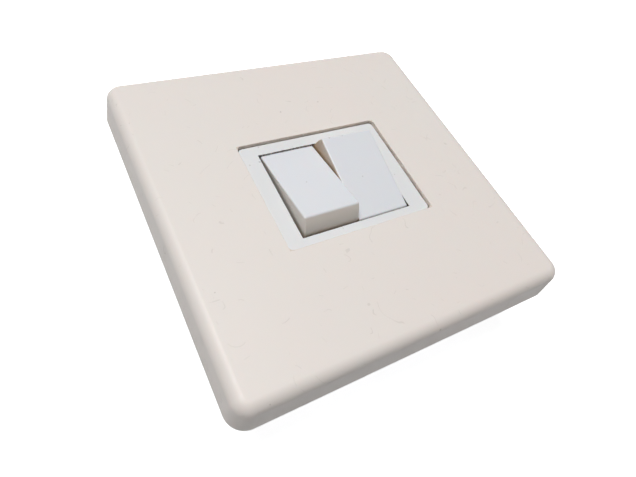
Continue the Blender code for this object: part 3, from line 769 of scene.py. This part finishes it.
def make_contact_housing():
    top, floor, bottom = level(HOUSING_TOP), level(HOUSING_FLOOR), level(HOUSING_BOTTOM)
    housing = slab("housing_moulding", CASE, CASE_CORNER, bottom, top)
    ear_bottom, ear_top = level(EAR_TOP - EAR_T), level(EAR_TOP)
    join(housing, slab("ears", HOUSING_EARS, 2.0, ear_bottom, ear_top))
    soften(housing, CASE_EDGE, 3)
    half = CASE[1] / 2 - CASE_WALL
    for _, sx in SIDES:
        ends = sorted((sx * PARTITION_HALF, sx * (CASE[0] / 2 - CASE_WALL)))
        cut(housing, box("cell", (ends[0], -half, floor), (ends[1], half, top + 1)))
        for _, sy in ENDS:
            depth = (LATCH[0], LATCH[1] + 1, LATCH[2] + 1)
            cut(housing, latch_box("latch_recess", depth, sx, sy, bottom - 1, LATCH[1]))
    cut(housing, box("over_partition", (-PARTITION_HALF - 1, -half, level(PARTITION_TOP)),
                     (PARTITION_HALF + 1, half, top + 1)))
    for place in rivet_places():
        cut(housing, upright_hole(RIVET_HOLE_R, place, ear_bottom - 1, ear_top + 1))
    for _, sx, _, y in terminal_places():
        x = sx * GANG_X
        half_x, half_y = TAIL_SLOT[0] / 2, TAIL_SLOT[1] / 2
        cut(housing, box("tail_slot", (x - half_x, y - half_y, bottom - 1),
                         (x + half_x, y + half_y, floor + 1)))
    cut_barriers(housing, bottom - 1, ear_bottom - 1.0)
    return shade(housing)


def make_rear_base():
    bottom, top = level(BASE_BOTTOM), level(BASE_TOP)
    base = slab("base_moulding", CASE, CASE_CORNER, bottom, top)
    soften(base, CASE_EDGE, 3)
    sink = LATCH[1] - 0.15
    for _, sx in SIDES:
        for _, sy in ENDS:
            join(base, latch_box("tongue_root", (TONGUE[0], TONGUE[1], 2.0), sx, sy, top - 1.0, sink))
            join(base, latch_box("tongue", TONGUE, sx, sy, top - 0.2, sink))
    for _, sx, _, y in terminal_places():
        ends = sorted(sx * (GANG_X + x) for x in BLOCK_X)
        cut(base, box("pocket", (ends[0], y - BLOCK_HALF, level(BLOCK_BOTTOM) - POCKET_GAP),
                      (ends[1], y + BLOCK_HALF, top + 1)))
        at = (sx * (GANG_X + BLOCK_SCREW_X), y)
        mouth = [(ACCESS_R + 2 * MOUTH, bottom - MOUTH), (ACCESS_R, bottom + MOUTH)]
        mouth.append((ACCESS_R, level(BLOCK_BOTTOM)))
        cut(base, turned("access", mouth, centre=at))
        face = CASE[0] / 2
        reach = [(WIRE_HOLE_R, sx * (GANG_X + BLOCK_X[1] - 0.4)), (WIRE_HOLE_R, sx * (face - MOUTH)),
                 (WIRE_HOLE_R + 2 * MOUTH, sx * (face + MOUTH))]
        cut(base, turned("wire_hole", reach, "X", (y, level(WIRE_Z))))
    cut_barriers(base, bottom - 1, top + 1)
    for _, sy in ENDS:
        cut(base, slab("strip_gauge", STRIP_GAUGE, STRIP_GAUGE[1] / 2 - 0.01, bottom - 1,
                       bottom + STRIP_GAUGE_DEPTH, (0.0, sy * STRIP_GAUGE_AT), 10))
    return shade(base)


def make_terminal_screw(name, sx, y):
    low, high = level(TERMINAL_SCREW_END), level(TERMINAL_SCREW_TIP)
    centre, sides = (sx * (GANG_X + BLOCK_SCREW_X), y), 28
    rings = [circle(r, low + z, "Z", centre, sides) for r, z in ((1.1, 0.0), (1.3, 0.08), (1.4, 0.25))]
    rings += threaded(low + 0.4, high - 0.3, 1.2, TERMINAL_SCREW_R, 0.45, centre, sides, 8)
    rings.append(circle(0.9, high, "Z", centre, sides))
    screw = loft(name, rings)
    half_length, half_width = 2.5, 0.25
    cut(screw, box("driver_slot", (centre[0] - half_length, y - half_width, low - 1.0),
                   (centre[0] + half_length, y + half_width, low + 0.7)))
    return shade(screw)


# ---------------------------------------------------------------- pieces that follow the CAD

FLAT = math.radians(1.0)


def refined(node, name, edge):
    """A copy of a CAD node with its flat faces whole again and its edges rounded, at rest where it is."""
    bm = bmesh.new()
    bm.from_mesh(frame["nodes"][node].data)
    bmesh.ops.remove_doubles(bm, verts=bm.verts, dist=1e-7)
    bmesh.ops.dissolve_limit(bm, angle_limit=FLAT, verts=bm.verts, edges=bm.edges)
    bmesh.ops.scale(bm, vec=(1 / MM, 1 / MM, 1 / MM), verts=bm.verts)
    return shade(soften(to_piece(name, bm), edge, 2))


# ---------------------------------------------------------------- bezel frame

def make_bezel():
    top, step, bottom = level(BEZEL_TOP), level(BEZEL_FLANGE_TOP), level(BEZEL_BOTTOM)
    relief = (APERTURE[0], APERTURE_RELIEF)
    lip = 0.06

    def ring(size, corner, z, middle=WINDOW_MIDDLE):
        return rounded_rectangle(size, corner, z, 6, 12, middle)

    rings = [
        ring(BEZEL_FLANGE, 2.0, bottom, (0, 0)),
        ring(BEZEL_FLANGE, 2.0, step - 0.3, (0, 0)),
        ring((BEZEL_FLANGE[0] - 0.6, BEZEL_FLANGE[1] - 0.6), 1.8, step, (0, 0)),
        ring(BEZEL, WINDOW_CORNER, step),
    ]
    edge = 0.3
    for k in range(5):
        a = math.pi / 2 * k / 4
        inset = edge * (1 - math.cos(a))
        size = (BEZEL[0] - 2 * inset, BEZEL[1] - 2 * inset)
        rings.append(ring(size, WINDOW_CORNER - inset, top - edge * (1 - math.sin(a))))
    rings += [
        ring((APERTURE[0] + 2 * lip, APERTURE[1] + 2 * lip), APERTURE_CORNER + lip, top, APERTURE_MIDDLE),
        ring(APERTURE, APERTURE_CORNER, top - lip, APERTURE_MIDDLE),
        ring(relief, APERTURE_CORNER, level(PIVOT_Z), APERTURE_MIDDLE),
        ring(relief, APERTURE_CORNER, bottom, APERTURE_MIDDLE),
    ]
    bezel = loft("bezel_moulding", rings, True)
    reach = BEZEL[0] / 2 + 1
    bore = [(PIN_HOLE_R, -reach), (PIN_HOLE_R, reach)]
    cut(bezel, turned("bore", bore, "X", (0, level(PIVOT_Z))))
    for x, y in rivet_places():
        cut(bezel, upright_hole(RIVET_HOLE_R, (x, y), bottom - 1, step + 1))
    return shade(bezel)


# ---------------------------------------------------------------- rockers

def rocker_outline(end_radius, top, skirt, steps=14):
    crest = math.asin(top / end_radius)
    right = [skirt + (crest - skirt) * k / steps for k in range(steps + 1)]
    points = [(end_radius * math.cos(a), end_radius * math.sin(a)) for a in right]
    return points + [(-y, z) for y, z in reversed(points)]


def make_rocker(side, sx):
    outline = rocker_outline(ROCKER_END_R, ROCKER_TOP, ROCKER_SKIRT)
    rocker = soften(prism_x(f"{side}_rocker_moulding", outline, -ROCKER_HALF, ROCKER_HALF), ROCKER_EDGE, 5)
    inside = rocker_outline(ROCKER_END_R - ROCKER_WALL, ROCKER_TOP - ROCKER_WALL, HOLLOW_SKIRT)
    cut(rocker, prism_x("hollow", inside, -ROCKER_HALF + ROCKER_WALL, ROCKER_HALF - ROCKER_WALL))
    barrel = [(BARREL_R - 0.3, BARREL_END), (BARREL_R, BARREL_END + 0.3)]
    barrel.append((BARREL_R, ROCKER_TOP - ROCKER_WALL / 2))
    join(rocker, turned("barrel", barrel))
    bore = [(BARREL_BORE_R, BARREL_END - 1), (BARREL_BORE_R, BARREL_CEILING)]
    pin = [(PIN_HOLE_R, -ROCKER_HALF - 1), (PIN_HOLE_R, ROCKER_HALF + 1)]
    cut(rocker, turned("pin_hole", pin, "X"), turned("bore", bore))
    return put_on_rocker(shade(rocker), sx)


def put_on_rocker(piece, sx):
    """Moves a piece from the pivot's own frame to its rocker's place at rest."""
    piece.location = (sx * GANG_X * MM, 0.0, level(PIVOT_Z) * MM)
    piece.rotation_euler.x = sx * TILT
    return piece


def make_plunger(side, sx):
    """A cup with a rounded tip, chamfered at its mouth."""
    profile = [(PLUNGER_R - 0.15, PLUNGER_TOP), (PLUNGER_R, PLUNGER_TOP - 0.15)]
    steps = 12
    for k in range(steps):
        a = math.pi / 2 * k / steps
        fall = (PLUNGER_SHOULDER - PLUNGER_TIP) * math.sin(a)
        profile.append((PLUNGER_R * math.cos(a), PLUNGER_SHOULDER - fall))
    profile[-1] = (0.25, PLUNGER_TIP)
    plunger = turned(f"{side}_plunger_cup", profile)
    bore = [(PLUNGER_BORE_R - 0.2, PLUNGER_FLOOR), (PLUNGER_BORE_R, PLUNGER_FLOOR + 0.2),
            (PLUNGER_BORE_R, PLUNGER_TOP - 0.2), (PLUNGER_BORE_R + 0.6, PLUNGER_TOP + 0.4)]
    cut(plunger, turned("bore", bore))
    return put_on_rocker(shade(plunger), sx)


def make_spring(side, sx):
    """A round-wire helix whose end turns lie closer together."""
    top = BARREL_CEILING - SPRING_END_GAP - SPRING_WIRE_R
    bottom = PLUNGER_FLOOR + SPRING_END_GAP + SPRING_WIRE_R
    count, wire_sides, closing = SPRING_TURNS * 24, 10, 0.5
    rings = []
    for i in range(count + 1):
        turn = 2 * math.pi * i / count
        z = bottom + (top - bottom) * (turn - closing * math.sin(turn)) / (2 * math.pi)
        outwards = Vector((math.cos(turn * SPRING_TURNS), math.sin(turn * SPRING_TURNS), 0))
        ring = []
        for j in range(wire_sides):
            a = 2 * math.pi * j / wire_sides
            reach = SPRING_R + SPRING_WIRE_R * math.cos(a)
            ring.append(outwards * reach + Vector((0, 0, z + SPRING_WIRE_R * math.sin(a))))
        rings.append(ring)
    return put_on_rocker(shade(loft(f"{side}_plunger_coil", rings)), sx)


def squash_spring(spring):
    """Gives the spring a mesh of its own."""
    bpy.context.view_layer.update()
    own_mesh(spring)


# ---------------------------------------------------------------- stage

CAMERA_FROM_FRONT = Vector((-57.54, -56.64, 86.25))
CAMERA_AIM = Vector((-12.1, -13.8, 0.0))
CAMERA_ROLL = math.radians(23.4)
CAMERA_LENS = 27.82


def make_camera():
    data = bpy.data.cameras.new("camera")
    data.lens = CAMERA_LENS
    data.clip_start = 0.001
    camera = bpy.data.objects.new("camera", data)
    bpy.context.scene.collection.objects.link(camera)
    front = Vector((0, 0, FRONT))
    turn = (CAMERA_AIM - CAMERA_FROM_FRONT).to_track_quat("-Z", "Y").to_matrix()
    place = Matrix.Translation((CAMERA_FROM_FRONT + front) * MM)
    camera.matrix_world = place @ (turn @ Matrix.Rotation(CAMERA_ROLL, 3, "Z")).to_4x4()
    bpy.context.scene.camera = camera


BACKDROP_R = 1600.0


def make_floor():
    """White paper that lights itself and sends no diffuse light to the object."""
    half = 1500.0
    corners = ((-half, -half), (half, -half), (half, half), (-half, half))
    floor = loft("floor", [[(x, y, z) for x, y in corners] for z in (-2.0, -0.02)])
    s = Shader("floor_paper")
    s.feed("Base Color", s.blend(s.noise(3.0, 2.0), (0.90, 0.90, 0.90), (0.92, 0.92, 0.92)))
    s.set(roughness=0.9, specular_ior_level=0.1, emission_color=(1, 1, 1, 1), emission_strength=0.8)
    floor.data.materials.append(s.material)
    floor.visible_diffuse = False


def make_backdrop():
    """A white paper dome round the scene, which only the camera sees."""
    rings = []
    steps, sides = 12, 48
    for k in range(steps + 1):
        a = math.pi / 2 * k / (steps + 0.5)
        rings.append(circle(BACKDROP_R * math.cos(a), BACKDROP_R * math.sin(a) - 20.0, "Z", (0, 0), sides))
    dome = loft("backdrop", rings)
    s = Shader("backdrop_paper")
    s.feed("Base Color", s.blend(s.noise(2.0, 2.0), (0.90, 0.90, 0.90), (0.92, 0.92, 0.92)))
    s.set(roughness=0.9, specular_ior_level=0.0, emission_color=(1, 1, 1, 1), emission_strength=0.9)
    dome.data.materials.append(s.material)
    dome.visible_diffuse = False
    dome.visible_glossy = False
    dome.visible_shadow = False
    dome.visible_transmission = False


def add_softbox(name, place, aim, size, power):
    data = bpy.data.lights.new(name, "AREA")
    data.shape = "RECTANGLE"
    data.size, data.size_y = size
    data.energy = power
    lamp = bpy.data.objects.new(name, data)
    bpy.context.scene.collection.objects.link(lamp)
    lamp.location = place
    lamp.rotation_euler = (Vector(aim) - Vector(place)).to_track_quat("-Z", "Y").to_euler()


def make_light():
    world = bpy.data.worlds.new("studio")
    bpy.context.scene.world = world
    world.use_nodes = True
    background = world.node_tree.nodes["Background"]
    background.inputs["Color"].default_value = (1, 1, 1, 1)
    background.inputs["Strength"].default_value = 0.18
    add_softbox("overhead", (-0.38, 0.42, 2.0), (0, 0, 0.03), (0.8, 0.8), 37.8)
    bpy.context.scene.view_settings.view_transform = "Standard"


# ---------------------------------------------------------------- assembly

SLOT_OF = {entry["node"]: entry["material_slot"] for entry in frame["record"]["subparts"]}


REFINED = ("common_terminal", "fixed_terminal", "seesaw")
REFINED_EDGE = 0.08


def dress_frame(finishes):
    """Gives every CAD node its finish, by its material slot."""
    for node, obj in frame["nodes"].items():
        slot = SLOT_OF[node]
        if slot in finishes:
            obj.data.materials.clear()
            obj.data.materials.append(finishes[slot])


def main():
    make_camera()
    make_floor()
    make_backdrop()
    make_light()
    finishes = make_finishes()
    dress_frame(finishes)
    finish_piece(make_cover_plate(), BODY, finishes["ivory_plastic"], "ivory_plastic", "cover_plate")
    finish_piece(make_bezel(), BODY, finishes["white_plastic"], "white_plastic", "bezel_frame")
    finish_piece(make_mounting_strap(), BODY, finishes["zinc_steel"], "zinc_steel", "mounting_strap")
    finish_piece(make_pivot_pin(), BODY, finishes["spring_steel"], "spring_steel", "pivot_pin")
    finish_piece(make_contact_housing(), BODY, finishes["case_plastic"], "case_plastic", "contact_housing")
    finish_piece(make_rear_base(), BODY, finishes["case_plastic"], "case_plastic", "rear_base")
    for side, sx in SIDES:
        rocker = make_rocker(side, sx)
        finish_piece(rocker, f"{side}_rocker", finishes[f"rocker_{side}"], "rocker_plastic", f"rocker_{side}")
        plunger = make_plunger(side, sx)
        finish_piece(plunger, f"{side}_plunger", finishes["plunger_plastic"], "plunger_plastic",
                     f"plunger_{side}")
        spring = make_spring(side, sx)
        finish_piece(spring, f"{side}_rocker", finishes["spring_steel"], "spring_steel",
                     f"plunger_spring_{side}")
        squash_spring(spring)
        screw = make_fixing_screw(side, sx)
        finish_piece(screw, BODY, finishes["screw_steel"], "screw_steel", f"fixing_screw_{side}")
        for end, sy in ENDS:
            rivet = make_rivet(f"rivet_{side}_{end}", (sx * RIVET_AT[0], sy * RIVET_AT[1]))
            finish_piece(rivet, BODY, finishes["screw_steel"], "screw_steel", f"module_rivet_{side}_{end}")
    for side, sx, place, y in terminal_places():
        screw = make_terminal_screw(f"clamp_screw_{side}_{place}", sx, y)
        finish_piece(screw, BODY, finishes["screw_steel"], "screw_steel", f"terminal_screw_{side}_{place}")
    for body, nodes in frame["record"]["behaviour"]["bodies"].items():
        for node in nodes:
            if node.startswith(REFINED):
                slot = SLOT_OF[node]
                finish_piece(refined(node, f"{node}_smooth", REFINED_EDGE), body, finishes[slot], slot, node)


main()
